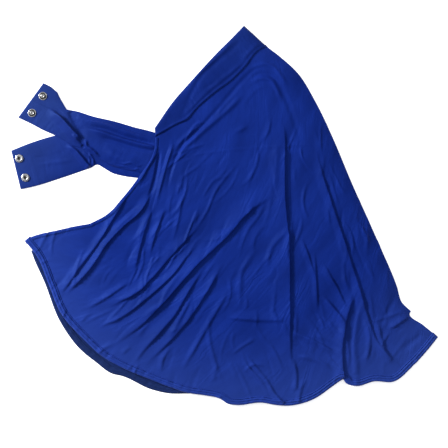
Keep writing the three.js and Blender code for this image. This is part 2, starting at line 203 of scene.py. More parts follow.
# ---------------------------------------------------------------- folds in the cloth
# Each fold: its height, the widths of its near and far sides, how far its crest leans to the far
# side, how sharp it is, the shares of its run over which it fades in and out, and its line.
# Heights and widths are in millimetres. Every line runs downwards or to the right, and its far
# side is on its left.
CAPE_FOLDS = [
    # the front edge and the corner below it
    (3.6, 12, 4.5, 1.5, 0.8, 0.2, 0.12, [
        (-0.217, 0.065), (-0.252, 0.005), (-0.291, -0.066), (-0.334, -0.132), (-0.381, -0.206)]),
    (4.6, 13, 4.5, 2, 0.8, 0.2, 0.15, [
        (-0.160, 0.075), (-0.197, 0.011), (-0.238, -0.030), (-0.273, -0.072), (-0.310, -0.135),
        (-0.370, -0.208)]),
    (3.4, 14, 6, 1, 0.5, 0.3, 0.3, [
        (-0.163, 0.029), (-0.183, -0.030), (-0.198, -0.090), (-0.212, -0.165)]),
    (2.6, 10, 5, 1, 0.5, 0.3, 0.3, [
        (-0.133, 0.029), (-0.152, -0.018), (-0.168, -0.078), (-0.175, -0.114)]),
    (2.8, 9, 5, 1, 0.6, 0.3, 0.3, [
        (-0.212, -0.168), (-0.254, -0.198), (-0.286, -0.222), (-0.323, -0.246)]),
    (2.2, 8, 5, 1, 0.6, 0.3, 0.3, [
        (-0.169, -0.156), (-0.191, -0.186), (-0.222, -0.210), (-0.254, -0.225)]),
    (2.0, 6, 5, 1, 0.5, 0.2, 0.3, [(-0.153, 0.171), (-0.170, 0.142), (-0.186, 0.110), (-0.203, 0.072)]),
    # the long slanting folds
    (4.2, 20, 4, 2, 0.8, 0.25, 0.3, [
        (-0.050, -0.020), (-0.091, -0.065), (-0.127, -0.108), (-0.164, -0.156), (-0.198, -0.195),
        (-0.238, -0.222), (-0.281, -0.246)]),
    (4.2, 18, 4, 2, 0.8, 0.3, 0.3, [
        (-0.045, -0.055), (-0.091, -0.111), (-0.116, -0.147), (-0.148, -0.183), (-0.191, -0.225),
        (-0.233, -0.261), (-0.275, -0.284), (-0.313, -0.302)]),
    (6.2, 30, 4.5, 3, 0.8, 0.2, 0.3, [
        (0.122, 0.057), (0.051, 0.006), (0.009, -0.050), (-0.056, -0.117), (-0.091, -0.160),
        (-0.122, -0.201), (-0.159, -0.246), (-0.191, -0.284), (-0.233, -0.320), (-0.270, -0.350)]),
    (4.4, 18, 4, 2, 0.8, 0.3, 0.3, [
        (-0.040, -0.125), (-0.091, -0.213), (-0.116, -0.261), (-0.148, -0.302), (-0.180, -0.344),
        (-0.212, -0.389)]),
    (3.6, 16, 4, 2, 0.8, 0.3, 0.3, [
        (0.007, -0.109), (-0.035, -0.187), (-0.091, -0.282), (-0.133, -0.335), (-0.190, -0.398)]),
    (2.4, 10, 5, 1, 0.6, 0.3, 0.3, [
        (-0.070, -0.205), (-0.091, -0.246), (-0.114, -0.293), (-0.132, -0.326)]),
    (2.4, 8, 6, 1, 0.6, 0.3, 0.3, [
        (0.020, -0.180), (-0.040, -0.290), (-0.080, -0.370), (-0.105, -0.420)]),
    (2.0, 8, 5, 1, 0.5, 0.3, 0.3, [(-0.122, -0.341), (-0.143, -0.377), (-0.148, -0.413)]),
    # the fold below the neck's fold
    (4.6, 46, 3.5, 2, 0.8, 0.15, 0.3, [
        (0.135, 0.253), (0.142, 0.215), (0.141, 0.167), (0.140, 0.104), (0.141, 0.041), (0.150, -0.061),
        (0.152, -0.219), (0.154, -0.330), (0.160, -0.461)]),
    (-1.3, 4, 14, 0, 0.3, 0.2, 0.4, [
        (0.146, 0.240), (0.156, 0.167), (0.156, 0.100), (0.158, 0.010), (0.164, -0.080)]),
    (1.6, 10, 8, 0, 0.4, 0.3, 0.3, [(0.124, 0.199), (0.121, 0.136), (0.114, 0.057)]),
    (1.6, 6, 4, 0, 0.6, 0.3, 0.3, [
        (0.041, 0.148), (0.005, 0.101), (-0.018, 0.066), (-0.040, 0.010), (-0.077, -0.053)]),
    (1.2, 5, 4, 0, 0.6, 0.3, 0.3, [(0.019, 0.107), (-0.024, 0.091), (-0.040, 0.066), (-0.052, 0.041)]),
    # the back fold's side
    (4.0, 13, 4, 1.5, 0.8, 0.25, 0.1, [
        (0.210, 0.191), (0.228, 0.110), (0.239, 0.068), (0.267, -0.025), (0.294, -0.118),
        (0.315, -0.195), (0.333, -0.265), (0.366, -0.350), (0.408, -0.389)]),
    (2.4, 8, 4, 1, 0.6, 0.3, 0.3, [(0.210, -0.087), (0.214, -0.180), (0.218, -0.265)]),
    (2.4, 9, 5, 1, 0.6, 0.3, 0.3, [(0.178, -0.056), (0.198, -0.114), (0.213, -0.172)]),
    (4.4, 9, 7, 2, 0.5, 0.3, 0.2, [(0.224, -0.203), (0.251, -0.242), (0.276, -0.280), (0.274, -0.335)]),
    (3.2, 9, 5, 1, 0.6, 0.2, 0.3, [(0.157, -0.304), (0.205, -0.327), (0.243, -0.350), (0.272, -0.367)]),
    (2.6, 8, 5, 1, 0.6, 0.2, 0.3, [(0.171, -0.366), (0.222, -0.381), (0.257, -0.406)]),
    (4.6, 18, 4, 1.5, 0.7, 0.3, 0.02, [
        (0.313, -0.184), (0.292, -0.242), (0.279, -0.304), (0.274, -0.366), (0.278, -0.427)]),
    (2.2, 5, 10, 0, 0.5, 0.3, 0.05, [
        (0.330, -0.200), (0.312, -0.262), (0.303, -0.330), (0.305, -0.420)]),
    (2.4, 12, 4, 1, 0.6, 0.3, 0.1, [(0.228, -0.120), (0.262, -0.190), (0.284, -0.240)]),
    (2.8, 7, 5, 1, 0.6, 0.3, 0.3, [(0.325, -0.265), (0.338, -0.319), (0.328, -0.397)]),
    (3.4, 10, 6, 1, 0.5, 0.3, 0.3, [(0.354, -0.265), (0.377, -0.362), (0.401, -0.397)]),
    (3.2, 10, 5, 1, 0.7, 0.2, 0.3, [(0.434, -0.261), (0.408, -0.280), (0.379, -0.300)]),
    (-1.8, 8, 8, 0, 0.3, 0.3, 0.3, [(0.406, -0.201), (0.385, -0.245), (0.364, -0.290)]),
    (-1.8, 8, 8, 0, 0.3, 0.3, 0.3, [(0.467, -0.306), (0.440, -0.330), (0.413, -0.356)]),
    # above the hem
    (3.0, 5, 16, 0, 0.6, 0.2, 0.2, [(0.003, -0.267), (0.071, -0.273), (0.148, -0.274)]),
    (1.8, 8, 8, 0, 0.4, 0.3, 0.3, [(0.082, -0.077), (0.042, -0.148), (0.038, -0.251)]),
    (2.0, 8, 7, 1, 0.4, 0.3, 0.3, [(0.150, -0.030), (0.108, -0.090), (0.098, -0.143)]),
    (1.8, 7, 7, 1, 0.5, 0.3, 0.4, [
        (-0.035, -0.259), (-0.035, -0.319), (-0.020, -0.390), (0.000, -0.450)]),
    (2.4, 8, 5, 1, 0.6, 0.3, 0.1, [(0.051, -0.366), (0.078, -0.404), (0.106, -0.443)]),
    (3.2, 8, 5, 1, 0.6, 0.3, 0.05, [(0.099, -0.427), (0.116, -0.466), (0.140, -0.493)]),
    (2.6, 8, 5, 1, 0.6, 0.3, 0.1, [(0.157, -0.366), (0.167, -0.412), (0.166, -0.461)]),
    (1.8, 5, 4, 0, 0.6, 0.3, 0.3, [(0.044, -0.412), (0.071, -0.389), (0.099, -0.397)]),
    (1.8, 4, 5, 0, 0.6, 0.3, 0.3, [(0.016, -0.366), (0.044, -0.342), (0.078, -0.319)]),
    (1.8, 6, 4, 0, 0.6, 0.3, 0.3, [(0.240, -0.273), (0.257, -0.296), (0.274, -0.311)]),
    (1.6, 5, 4, 0, 0.6, 0.3, 0.3, [(0.215, -0.257), (0.229, -0.281), (0.233, -0.300)]),
    (2.2, 7, 5, 1, 0.6, 0.3, 0.05, [(0.192, -0.427), (0.180, -0.450), (0.172, -0.490)]),
    # under the neck band
    (-2.4, 6, 5, 0, 0.5, 0.15, 0.2, [
        (0.091, 0.402), (0.050, 0.362), (0.016, 0.319), (-0.007, 0.288), (-0.038, 0.250),
        (-0.063, 0.221), (-0.088, 0.196), (-0.111, 0.155), (-0.125, 0.110), (-0.134, 0.050)]),
    (2.6, 7, 7, 0, 0.5, 0.2, 0.2, [
        (0.050, 0.325), (0.024, 0.294), (-0.007, 0.262), (-0.040, 0.231), (-0.068, 0.202),
        (-0.094, 0.174), (-0.108, 0.142)]),
    (1.8, 4, 4, 0, 0.5, 0.2, 0.2, [(-0.040, 0.247), (-0.063, 0.240), (-0.080, 0.215), (-0.094, 0.186)]),
    (-3.0, 5, 6, 0, 0.5, 0.2, 0.3, [
        (-0.149, 0.178), (-0.154, 0.133), (-0.163, 0.083), (-0.180, 0.030)]),
    (2.4, 6, 6, 1, 0.5, 0.2, 0.3, [(-0.115, 0.200), (-0.130, 0.150), (-0.147, 0.083), (-0.160, 0.020)]),
    (1.6, 6, 6, 0, 0.4, 0.3, 0.3, [
        (0.050, 0.376), (0.075, 0.392), (0.097, 0.398), (0.117, 0.389), (0.134, 0.364), (0.154, 0.326)]),
    (-1.4, 7, 7, 0, 0.3, 0.2, 0.3, [
        (0.033, 0.338), (0.058, 0.357), (0.083, 0.372), (0.103, 0.371), (0.120, 0.358), (0.140, 0.319),
        (0.160, 0.261), (0.180, 0.180)]),
    (1.6, 6, 6, 0, 0.4, 0.2, 0.3, [
        (0.061, 0.345), (0.083, 0.360), (0.108, 0.356), (0.125, 0.326), (0.137, 0.288)]),
    (0.6, 3, 3, 0, 0.8, 0.2, 0.2, [(-0.112, 0.152), (0.000, 0.170), (0.140, 0.183), (0.248, 0.189)]),
    (0.6, 3, 3, 0, 0.8, 0.2, 0.2, [(-0.224, -0.056), (-0.160, -0.078), (-0.105, -0.093)]),
    # in the neck band
    (-1.5, 7, 5, 0, 0.4, 0.1, 0.3, [
        (0.041, 0.462), (0.021, 0.436), (-0.004, 0.413), (-0.029, 0.389), (-0.052, 0.364),
        (-0.068, 0.335), (-0.082, 0.304), (-0.094, 0.272), (-0.101, 0.253)]),
    (1.6, 9, 4, 0, 0.5, 0.2, 0.3, [
        (0.027, 0.465), (0.002, 0.435), (-0.026, 0.405), (-0.057, 0.372), (-0.082, 0.338)]),
    (2.2, 7, 3, 0, 0.7, 0.2, 0.2, [
        (0.055, 0.411), (0.019, 0.376), (-0.012, 0.348), (-0.040, 0.323), (-0.063, 0.297),
        (-0.080, 0.275), (-0.097, 0.253)]),
    (-0.8, 3, 3, 0, 0.4, 0.2, 0.2, [
        (0.027, 0.383), (0.002, 0.360), (-0.024, 0.338), (-0.052, 0.313), (-0.068, 0.294),
        (-0.085, 0.269), (-0.094, 0.254)]),
    (1.8, 8, 6, 0, 0.4, 0.2, 0.3, [(0.086, 0.459), (0.064, 0.433), (0.041, 0.405)]),
]
UPPER_STRAP_FOLDS = [
    (-1.2, 3, 4, 0, 0.6, 0.02, 0.3, [
        (-0.453, 0.305), (-0.429, 0.297), (-0.409, 0.286), (-0.384, 0.274), (-0.366, 0.259)]),
    (0.4, 3, 2.5, 0, 0.6, 0.02, 0.3, [
        (-0.456, 0.299), (-0.431, 0.290), (-0.411, 0.279), (-0.389, 0.266)]),
    (8.4, 15, 4.5, 3, 0.6, 0.3, 0.15, [
        (-0.409, 0.281), (-0.387, 0.262), (-0.370, 0.243), (-0.352, 0.220), (-0.330, 0.197)]),
    (-2.2, 6, 14, 0, 0.2, 0.1, 0.3, [
        (-0.361, 0.276), (-0.350, 0.249), (-0.337, 0.224), (-0.321, 0.199)]),
    (5.0, 8, 4.5, 1, 0.8, 0.25, 0.12, [
        (-0.320, 0.230), (-0.280, 0.217), (-0.243, 0.203), (-0.205, 0.191), (-0.150, 0.175)]),
    (-2.0, 5, 6, 0, 0.3, 0.25, 0.12, [
        (-0.332, 0.237), (-0.280, 0.227), (-0.230, 0.207), (-0.160, 0.186)]),
    (-2.0, 6, 5, 0, 0.3, 0.25, 0.12, [
        (-0.300, 0.206), (-0.255, 0.196), (-0.205, 0.179), (-0.155, 0.170)]),
    (2.8, 9, 4.5, 0, 0.7, 0.3, 0.2, [
        (-0.350, 0.258), (-0.280, 0.241), (-0.205, 0.213), (-0.155, 0.199)]),
    (2.6, 13, 12, 0, 0.1, 0.3, 0.3, [(-0.285, 0.176), (-0.235, 0.150), (-0.190, 0.140)]),
    (2.6, 3, 3, 0, 0.4, 0.2, 0.3, [(-0.355, 0.213), (-0.337, 0.192), (-0.330, 0.184)]),
    (4.4, 4, 5, 0, 0.5, 0.2, 0.3, [(-0.321, 0.202), (-0.320, 0.184), (-0.307, 0.171), (-0.287, 0.152)]),
    (-3.0, 4, 4, 0, 0.2, 0.2, 0.2, [(-0.330, 0.186), (-0.326, 0.178)]),
    (1.5, 3, 3, 0, 0.6, 0.3, 0.3, [
        (-0.250, 0.142), (-0.232, 0.136), (-0.215, 0.139), (-0.198, 0.131), (-0.186, 0.137)]),
    (1.8, 3, 2.5, 0, 0.6, 0.2, 0.2, [
        (-0.272, 0.141), (-0.250, 0.131), (-0.232, 0.129), (-0.212, 0.121), (-0.194, 0.124)]),
]
LOWER_STRAP_FOLDS = [
    (-0.8, 4, 4, 0, 0.3, 0.3, 0.3, [
        (-0.450, 0.154), (-0.404, 0.156), (-0.364, 0.174), (-0.350, 0.177)]),
    (0.8, 6, 6, 0, 0.3, 0.3, 0.3, [(-0.444, 0.132), (-0.392, 0.140), (-0.342, 0.148)]),
    (5.0, 9, 5, 1, 0.4, 0.25, 0.1, [
        (-0.368, 0.187), (-0.347, 0.172), (-0.332, 0.153), (-0.318, 0.134), (-0.310, 0.125)]),
    (2.6, 3, 3, 0, 0.5, 0.2, 0.2, [(-0.316, 0.165), (-0.305, 0.148), (-0.304, 0.132)]),
    (1.8, 3, 3, 0, 0.5, 0.2, 0.2, [(-0.330, 0.168), (-0.315, 0.154), (-0.312, 0.134)]),
]


def strewn(count, seed, height, width, size, folds):
    """Small wrinkles scattered over the cape, each running as the big folds near it do.

    Their heights, widths and lengths are drawn between two values each, in millimetres.
    """
    draw = np.random.default_rng(seed)
    ways = []
    for fold in folds:
        if fold[0] >= 2 and fold[1] >= 7:
            path = spread(line(fold[-1]), np.linspace(0, 1, 6))
            ways += [((a + b) / 2, (b - a) / np.linalg.norm(b - a)) for a, b in zip(path, path[1:])]
    centres = np.array([way[0] for way in ways])
    headings = np.array([way[1] for way in ways])
    found = []
    for _ in range(count):
        start = np.array([draw.uniform(*STREWN_X), draw.uniform(*STREWN_Y)]) * SPAN
        weight = 1 / (np.sum((centres - start) ** 2, axis=1) + STREWN_NEAR**2) ** 2
        heading = (headings * weight[:, None]).sum(0)
        angle = math.atan2(heading[1], heading[0]) + draw.normal(0, STRAY)
        bend = draw.normal(0, BEND)
        reach = draw.uniform(*size)
        steps = [start]
        for turn in (-bend, 0, bend):
            step = np.array([math.cos(angle + turn), math.sin(angle + turn)]) * reach / 3 * MM
            steps.append(steps[-1] + step)
        shares = [tuple(step / SPAN) for step in steps]
        far = draw.uniform(*width)
        tall = draw.uniform(*height)
        near = far * draw.uniform(1, 1.8)
        found.append((tall, near, far, 0.5, 0.6, 0.4, 0.4, shares))
    return found


def folded(places, folds, seed):
    """The lift and the sideways shift that folds give to places on a layer."""
    lift = np.zeros(len(places))
    shift = np.zeros((len(places), 2))
    for number, (height, near, far, lean, sharp, fade_in, fade_out, shares) in enumerate(folds):
        path = spread(line(shares), np.linspace(0, 1, 26))
        reach = 1.15 * max(near, far) * MM
        inside = np.all((places > path.min(0) - reach) & (places < path.max(0) + reach), axis=1)
        side, share, left = beside(places[inside], path)
        waver = 1 + WAVER * cloudy(share * 6, share * 0 + number * 7.3, seed + number, 2)
        q = np.abs(side) / (np.where(side > 0, far, near) * MM * waver)
        soft = ramp(1 - q)
        cusp = np.clip(1 - q, 0, 1) ** 1.7
        strength = ramp(share / fade_in) * ramp((1 - share) / fade_out) * waver
        raised = (soft * (1 - sharp) + cusp * sharp) * strength
        lift[inside] += height * MM * raised
        shift[inside] += left * (lean * MM * raised**2)[:, None]
    return lift, shift


# ---------------------------------------------------------------- outlines
BAND_TOP = line(
    [(-0.161, 0.230), (-0.117, 0.301), (-0.074, 0.356), (-0.018, 0.425), (0.022, 0.470),
     (0.047, 0.500)],
)
SEAM = line(
    [(-0.160, 0.206), (-0.143, 0.216), (-0.117, 0.233), (-0.087, 0.250), (-0.056, 0.286),
     (-0.016, 0.324), (0.017, 0.351), (0.051, 0.389), (0.080, 0.430), (0.101, 0.444)],
)
BACK_FOLD = line(
    [(0.101, 0.444), (0.131, 0.418), (0.173, 0.374), (0.214, 0.299), (0.256, 0.200), (0.298, 0.087),
     (0.339, -0.016), (0.381, -0.124), (0.404, -0.187), (0.4145, -0.2264), (0.4365, -0.2511)],
    [(0.4365, -0.2511), (0.4340, -0.2555), (0.4645, -0.2870), (0.500, -0.319)],
)
WHOLE_FOLD = np.vstack([spot([(0.047, 0.500)]), BACK_FOLD])
FOLD_PATH = spread(WHOLE_FOLD, np.linspace(0, 1, 70))
FRONT_EDGE = line(
    [(-0.160, 0.206), (-0.161, 0.181), (-0.201, 0.097), (-0.240, 0.041), (-0.270, 0.005),
     (-0.312, -0.021)],
    [(-0.312, -0.021), (-0.357, -0.030), (-0.385, -0.0375), (-0.428, -0.048), (-0.449, -0.056),
     (-0.464, -0.066)],
)
UPPER_HEM = line(
    [(-0.464, -0.066), (-0.452, -0.082), (-0.437, -0.104), (-0.408, -0.180), (-0.379, -0.257),
     (-0.328, -0.323), (-0.281, -0.371), (-0.233, -0.401), (-0.169, -0.431), (-0.119, -0.453),
     (-0.085, -0.465), (-0.043, -0.472), (-0.010, -0.480), (0.010, -0.494), (0.028, -0.497),
     (0.090, -0.491), (0.121, -0.497), (0.149, -0.499), (0.208, -0.482), (0.254, -0.447),
     (0.277, -0.428)],
    [(0.277, -0.428), (0.285, -0.440), (0.310, -0.447), (0.350, -0.435), (0.394, -0.436),
     (0.443, -0.391), (0.500, -0.319)],
)
LOWER_HEM = line(
    [(-0.450, -0.092), (-0.445, -0.108), (-0.419, -0.174), (-0.381, -0.281), (-0.334, -0.353),
     (-0.298, -0.386), (-0.260, -0.416), (-0.240, -0.421), (-0.169, -0.457), (-0.130, -0.467),
     (-0.090, -0.468), (-0.040, -0.466), (0.020, -0.482), (0.150, -0.484), (0.240, -0.446),
     (0.300, -0.424), (0.400, -0.418), (0.450, -0.378), (0.500, -0.319)],
)
STRAP_A_NECK = line(
    [(-0.421, 0.349), (-0.404, 0.339), (-0.388, 0.324)],
    [(-0.388, 0.324), (-0.384, 0.314), (-0.374, 0.294), (-0.366, 0.279)],
    [(-0.366, 0.279), (-0.345, 0.275), (-0.305, 0.261), (-0.255, 0.248), (-0.210, 0.233),
     (-0.160, 0.218), (-0.130, 0.202), (-0.096, 0.191)],
)
STRAP_A_FREE = line(
    [(-0.480, 0.258), (-0.447, 0.240), (-0.418, 0.223), (-0.394, 0.211), (-0.374, 0.198),
     (-0.355, 0.185), (-0.332, 0.177), (-0.310, 0.165), (-0.287, 0.148), (-0.265, 0.132),
     (-0.235, 0.122), (-0.208, 0.116), (-0.180, 0.113), (-0.148, 0.118)],
)
STRAP_B_NECK = line(
    [(-0.496, 0.171), (-0.479, 0.179), (-0.442, 0.195), (-0.394, 0.211), (-0.355, 0.219),
     (-0.305, 0.213), (-0.255, 0.202), (-0.160, 0.177), (-0.116, 0.165)],
)
STRAP_B_FREE = line(
    [(-0.474, 0.069), (-0.442, 0.077), (-0.379, 0.099), (-0.330, 0.118), (-0.310, 0.126),
     (-0.296, 0.134), (-0.280, 0.125), (-0.260, 0.112), (-0.233, 0.104), (-0.199, 0.099),
     (-0.155, 0.094)],
)


# ---------------------------------------------------------------- the layers' heights
WRINKLES = [
    *strewn(count=210, seed=5, height=(0.6, 1.8), width=(3, 6), size=(25, 100), folds=CAPE_FOLDS),
    *strewn(count=110, seed=6, height=(-1.0, -0.3), width=(3.5, 6), size=(25, 80), folds=CAPE_FOLDS),
]


def turned_over(places, height):
    """Brings a height down to the lower layer at the back fold."""
    side, _, _ = beside(places, FOLD_PATH)
    away = np.clip(np.abs(side) / UPPER_EASE, 0, 1)
    return FOLD_Z + (height - FOLD_Z) * (1 - (1 - away) ** 2.2)


def upper_layer(places):
    """Height and sideways shift of the upper layer's cloth at places on the cape."""
    lift, shift = folded(places, CAPE_FOLDS, 11)
    small_lift, small_shift = folded(places, WRINKLES, 12)
    lift, shift = lift + small_lift, shift + small_shift
    x, y = places[:, 0], places[:, 1]
    billow = 0.9 * MM * cloudy(x / 0.11 + 5, y / 0.16 + 3, 31, 2)
    crumple = 0.28 * MM * cloudy(x / 0.020, y / 0.034, 47, 3)
    corner, _, _ = beside(places, spread(FRONT_EDGE, np.linspace(0, 0.45, 12)))
    over_straps = 2.0 * MM * ramp(1 - np.abs(corner) / (34 * MM))
    height = UPPER_Z + lift + billow + crumple + over_straps
    softness = 0.5 * MM
    height = UPPER_FLOOR + softness * np.logaddexp(0, (height - UPPER_FLOOR) / softness)
    knee = UPPER_CEILING - UPPER_ROOM
    flattened = knee + UPPER_ROOM * np.tanh((height - knee) / UPPER_ROOM)
    height = np.where(height > knee, flattened, height)
    seam, _, _ = beside(places, spread(SEAM, np.linspace(0, 1, 40)))
    piping = 1.3 * MM * ramp(1 - np.abs(seam - 3 * MM) / (3.4 * MM))
    return turned_over(places, height + piping), shift


def lower_layer(places):
    """Height and sideways shift of the lower layer's cloth at places on the cape."""
    x, y = places[:, 0], places[:, 1]
    ripple = 0.25 * MM * cloudy(x / 0.05, y / 0.07, 61, 2)
    side, _, _ = beside(places, FOLD_PATH)
    height = FOLD_Z + (LOWER_Z + ripple - FOLD_Z) * ramp(np.abs(side) / LOWER_EASE)
    return height, np.zeros((len(places), 2))


# ---------------------------------------------------------------- making pieces
def mesh_of(bm, name):
    """Turns a bmesh into a named mesh."""
    mesh = bpy.data.meshes.new(name)
    bm.to_mesh(mesh)
    bm.free()
    return mesh


def placed(name, mesh, *finishes):
    """Puts a mesh in the scene as a piece with its finishes."""
    for finish in finishes:
        mesh.materials.append(finish)
    piece = bpy.data.objects.new(name, mesh)
    bpy.context.scene.collection.objects.link(piece)
    return piece


def surface(name, table, finish, closed=False):
    """A cloth surface through a table of places. A closed one is a tube along its rows."""
    rows, columns = table.shape[:2]
    bm = bmesh.new()
    bmesh.ops.create_grid(bm, x_segments=columns - 1, y_segments=rows - 1, size=0.5)
    mesh = mesh_of(bm, name)
    mesh.vertices.foreach_set("co", table.reshape(-1, 3).astype(np.float32).ravel())
    along = np.linalg.norm(np.diff(table, axis=1), axis=2)
    across = np.linalg.norm(np.diff(table, axis=0), axis=2)
    u = np.concatenate([np.zeros((rows, 1)), np.cumsum(along, axis=1)], axis=1)
    v = np.concatenate([np.zeros((1, columns)), np.cumsum(across, axis=0)], axis=0)
    corner = np.zeros(len(mesh.loops), int)
    mesh.loops.foreach_get("vertex_index", corner)
    uv = mesh.uv_layers.new(name="cut")
    cut = np.stack([u.ravel(), v.ravel()], axis=1)[corner]
    uv.data.foreach_set("uv", cut.astype(np.float32).ravel())
    # Painted sheen: a paler tone away from the cape's middle, kept as a point attribute for the knit.
    places = (table[..., :2] - MIDDLE) / SPAN
    outwards = np.hypot(places[..., 0] - SHEEN_CENTRE[0], places[..., 1] - SHEEN_CENTRE[1])
    sheened = ramp((outwards - SHEEN_START) / SHEEN_RUN)
    painted_sheen = mesh.attributes.new("painted_sheen", "FLOAT", "POINT")
    painted_sheen.data.foreach_set("value", sheened.astype(np.float32).ravel())
    if closed:
        bm = bmesh.new()
        bm.from_mesh(mesh)
        bmesh.ops.remove_doubles(bm, verts=bm.verts, dist=0.004 * MM)
        bmesh.ops.recalc_face_normals(bm, faces=bm.faces)
        bm.to_mesh(mesh)
        bm.free()
    elif sum(face.normal.z for face in mesh.polygons) < 0:
        mesh.flip_normals()
    mesh.shade_smooth()
    return placed(name, mesh, finish)


def patch(top, bottom, left, right, across, down):
    """Places that fill four edges. across and down are shares along them."""
    u, v = across[None, :, None], down[:, None, None]
    north, south = spread(top, across)[None], spread(bottom, across)[None]
    west, east = spread(left, down)[:, None], spread(right, down)[:, None]
    first = north[:, :1] * (1 - v) + south[:, :1] * v
    last = north[:, -1:] * (1 - v) + south[:, -1:] * v
    corners = first * (1 - u) + last * u
    return north * (1 - v) + south * v + west * (1 - u) + east * u - corners


def laid(table, layer):
    """Lays a table of flat places on a layer."""
    flat = table.reshape(-1, 2)
    height, shift = layer(flat)
    return np.concatenate([flat + shift, height[:, None]], axis=1).reshape(*table.shape[:2], 3)


def strip(
    name, first, second, layer, thickness, sink, steps, across, finish, ripple=0, groove=0, roundness=5
):
    """A flattened tube of doubled cloth between two edges, rounded at its ends.

    It reaches from sink below its layer to thickness above that.
    """
    u = np.linspace(0, 1, steps)
    s = 0.5 - 0.5 * np.cos(np.pi * np.linspace(0, 1, across + 1))
    a, b = spread(first, u), spread(second, u)
    table = a[None] * (1 - s)[:, None, None] + b[None] * s[:, None, None]
    base = laid(table, layer)
    run = lengths((a + b) / 2)
    near_end = np.minimum(run, run[-1] - run) / END_ROUNDING
    ends = np.sqrt(np.clip(1 - (1 - np.clip(near_end, 0, 1)) ** 2, 0, 1))
    side = np.sqrt(np.clip(1 - np.abs(2 * s - 1) ** roundness, 0, 1))
    puff = thickness * side[:, None] * ends[None, :]
    if ripple:
        wave = cloudy(run[None, :] / RIPPLE_LENGTH + 3, s[:, None] * 1.2, 71, 2)
        puff = puff * (1 + ripple * wave)
    if groove:
        dent = sum(depth * np.exp(-(((s - share) / width) ** 2)) for share, width, depth in GROOVES)
        puff = puff - groove * dent[:, None] * ends[None, :]
    under = base.copy()
    under[..., 2] -= sink
    top = under.copy()
    top[..., 2] += puff
    loop = np.concatenate([top, under[-2:0:-1], top[:1]], axis=0)
    return surface(name, loop, finish, closed=True)


# ---------------------------------------------------------------- finishes
def shader(name):
    """A new finish, with its node tree and its main shader."""
    finish = bpy.data.materials.new(name)
    finish.use_nodes = True
    tree = finish.node_tree
    return finish, tree, tree.nodes["Principled BSDF"]


def new_node(tree, kind, **values):
    """A shader node with constants on its sockets. An underscore stands for a space in a name."""
    node = tree.nodes.new("ShaderNode" + kind)
    for socket, value in values.items():
        node.inputs[socket.replace("_", " ")].default_value = value
    return node


def two_tones(tree, dark, light, start=0.0, end=1.0):
    """A ramp from a dark colour to a light one."""
    tones = new_node(tree, "ValToRGB")
    tones.color_ramp.elements[0].color = (*dark, 1)
    tones.color_ramp.elements[0].position = start
    tones.color_ramp.elements[1].color = (*light, 1)
    tones.color_ramp.elements[1].position = end
    return tones


def link(tree, *ends):
    """Links sockets two by two."""
    for source, target in zip(ends[::2], ends[1::2]):
        tree.links.new(source, target)


